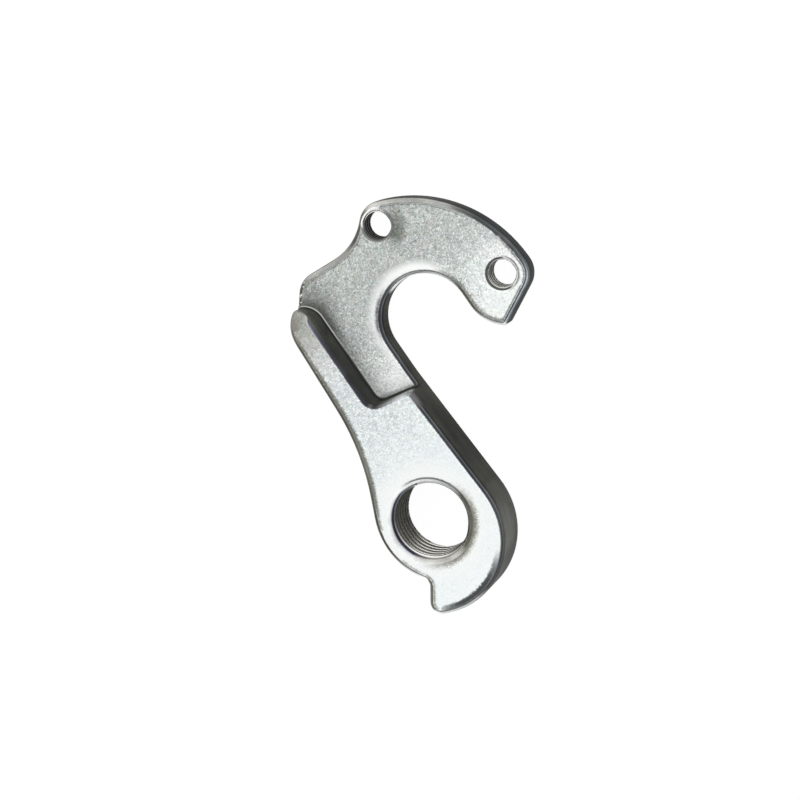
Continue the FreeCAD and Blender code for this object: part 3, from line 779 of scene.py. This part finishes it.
def makeFinishAndPaintedLight():
    material = bpy.data.materials.new("blastedAluminiumPaintedLight")
    material.use_nodes = True
    net = Net(material.node_tree)
    shader = material.node_tree.nodes["Principled BSDF"]
    surface = Surface(net)
    worn = slotSheenLevel(surface)
    light = grainLevel(surface, worn)
    tone = faceColour(surface, worn, light)
    edge = sideColour(surface, tone, light)
    back = finishAndPaintedLight["flatBack"]
    flatness = surface.frayed(surface["up"], finishAndPaintedLight["flatFray"])
    flatness = flatness + surface.where(back["where"]) * back["share"]
    colour = net.mixColour(net.smooth(flatness, *finishAndPaintedLight["flatEdge"]), tone, edge)
    colour, shine = addBoltThread(surface, colour)
    colour, shine = addScrewHoles(surface, colour, shine, tone)
    # the metal is raised under the painted highlights
    loss = finishAndPaintedLight["metalLoss"]
    metal = finishAndPaintedLight["metal"] - surface.where(loss["where"]) * loss["share"] + shine * finishAndPaintedLight["metalGain"]
    height = surface.grain - surface.pits * finishAndPaintedLight["bumpPits"]
    bump = net.add("ShaderNodeBump", None, {"Height": height, **finishAndPaintedLight["bump"]})
    net.tree.links.new(colour.socket, shader.inputs["Base Color"])
    net.tree.links.new(bump.socket, shader.inputs["Normal"])
    net.tree.links.new(metal.clamped().socket, shader.inputs["Metallic"])
    shader.inputs["Roughness"].default_value = finishAndPaintedLight["roughness"]
    shader.inputs["Specular IOR Level"].default_value = 0
    return material


# The hanger, from a merged copy of the CAD mesh

bodyMesh = {
    "mergeGap": 0.002,   # mm
    "sliver": 0.0005,    # mm
    "sharpAngle": 28,
    "flatWeight": 100,   # how strongly large faces set the normals
}


def mergedCopy(node, name):
    # the CAD mesh with its loose triangles joined
    made = bpy.data.objects.new(name, node.data.copy())
    bpy.context.scene.collection.objects.link(made)
    mesh = bmesh.new()
    mesh.from_mesh(made.data)
    bmesh.ops.remove_doubles(mesh, verts=mesh.verts, dist=bodyMesh["mergeGap"] * mm)
    bmesh.ops.dissolve_degenerate(mesh, edges=mesh.edges, dist=bodyMesh["sliver"] * mm)
    mesh.to_mesh(made.data)
    mesh.free()
    return made


def makeHanger(material):
    threaded = cutThreads(mergedCopy(hangerNode, "hangerCopy"), material)
    addRimDistances(threaded)
    threaded.data.materials.clear()
    threaded.data.materials.append(material)
    threaded.data.shade_smooth()
    threaded.data.set_sharp_from_angle(angle=math.radians(bodyMesh["sharpAngle"]))
    weighting = threaded.modifiers.new("evenNormals", "WEIGHTED_NORMAL")
    weighting.keep_sharp = True
    weighting.weight = bodyMesh["flatWeight"]
    hanger = settled(threaded, "hangerBody")
    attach(hanger, "root")
    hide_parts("hanger")
    print("threads cut, triangles:", sum(len(face.vertices) - 2 for face in hanger.data.polygons))


aluminium = makeFinishAndPaintedLight()
print("finish made")
makeHanger(aluminium)


# Floor and light, in metres

studio = {
    "floorSize": 3.0,
    "floorGap": 0.00002,
    "floorPaint": (0.9, 0.9, 0.9, 1),
    "floorRoughness": 0.9,
    "floorWhite": 1.06,
    "floorShare": 0.91,   # how much of the floor is its own white, the rest shows the shadow
    "worldLevel": 0.65,
    "middle": (0.010, 0.012, 0),
    "keyPlace": (0.05, 0.09, 0.30),   # from the middle
    "keySize": 0.26,
    "keyPower": 0.099,
}


def seenRays(net):
    # 1 for the rays that see the background, 0 for those that light the object
    path = net.node("ShaderNodeLightPath")
    seen, mirrored, through = (
        Signal(net, path.outputs[name]) for name in ("Is Camera Ray", "Is Glossy Ray", "Is Transmission Ray"))
    return (seen + mirrored + through).atMost(1)


def makeFloor():
    size = studio["floorSize"]
    low = cadBox[0][2] - studio["floorGap"]
    mesh = bpy.data.meshes.new("floor")
    corners = [(-size, -size, low), (size, -size, low), (size, size, low), (-size, size, low)]
    mesh.from_pydata(corners, [], [(0, 1, 2, 3)])
    floor = bpy.data.objects.new("floor", mesh)
    bpy.context.scene.collection.objects.link(floor)
    material = bpy.data.materials.new("whiteFloor")
    material.use_nodes = True
    net = Net(material.node_tree)
    paint = material.node_tree.nodes["Principled BSDF"]
    paint.inputs["Base Color"].default_value = studio["floorPaint"]
    paint.inputs["Roughness"].default_value = studio["floorRoughness"]
    paint.inputs["Specular IOR Level"].default_value = 0
    glow = net.node("ShaderNodeEmission", None, {"Color": (1, 1, 1, 1), "Strength": studio["floorWhite"]})
    mix = net.node("ShaderNodeMixShader", None, [seenRays(net) * studio["floorShare"]])
    net.tree.links.new(paint.outputs[0], mix.inputs[1])
    net.tree.links.new(glow.outputs[0], mix.inputs[2])
    net.tree.links.new(mix.outputs[0], net.tree.nodes["Material Output"].inputs[0])
    mesh.materials.append(material)


def makeWorld():
    world = bpy.data.worlds.new("studio")
    world.use_nodes = True
    bpy.context.scene.world = world
    net = Net(world.node_tree)
    background = world.node_tree.nodes["Background"]
    level = seenRays(net) * (1 - studio["worldLevel"]) + studio["worldLevel"]
    background.inputs["Color"].default_value = (1, 1, 1, 1)
    net.tree.links.new(level.socket, background.inputs["Strength"])


def makeKeyLamp():
    middle = Vector(studio["middle"])
    place = middle + Vector(studio["keyPlace"])
    light = bpy.data.lights.new("key", "AREA")
    light.shape = "DISK"
    light.size = studio["keySize"]
    light.energy = studio["keyPower"]
    lamp = bpy.data.objects.new("key", light)
    lamp.location = place
    lamp.rotation_euler = (middle - place).to_track_quat("-Z", "Y").to_euler()
    bpy.context.scene.collection.objects.link(lamp)


makeFloor()
makeWorld()
makeKeyLamp()
print("studio made")


# Camera

view = {
    "lean": 21.0,        # camera direction off the face's normal, degrees
    "turn": -1.4,
    "roll": 36.4,
    "place": (0.099411, 0.011509, 0.247862),
    "focalPixels": 2231.3,
    "imagePixels": 800,
    "sensorWidth": 36,
    "clipStart": 0.01,
}


def makeCamera():
    lean = math.radians(view["lean"])
    turn = math.radians(view["turn"])
    roll = math.radians(view["roll"])
    back = Vector((math.sin(lean) * math.cos(turn), math.sin(lean) * math.sin(turn), math.cos(lean)))
    up = Vector((math.sin(roll), math.cos(roll), 0))
    up = (up - back * up.dot(back)).normalized()
    right = up.cross(back)
    data = bpy.data.cameras.new("camera")
    data.sensor_width = view["sensorWidth"]
    data.sensor_fit = "HORIZONTAL"
    data.lens = view["sensorWidth"] * view["focalPixels"] / view["imagePixels"]
    data.clip_start = view["clipStart"]
    camera = bpy.data.objects.new("camera", data)
    turned = Matrix((right, up, back)).transposed().to_4x4()
    camera.matrix_world = Matrix.Translation(view["place"]) @ turned
    bpy.context.scene.collection.objects.link(camera)
    bpy.context.scene.camera = camera


makeCamera()
bpy.context.scene.view_settings.view_transform = "Standard"
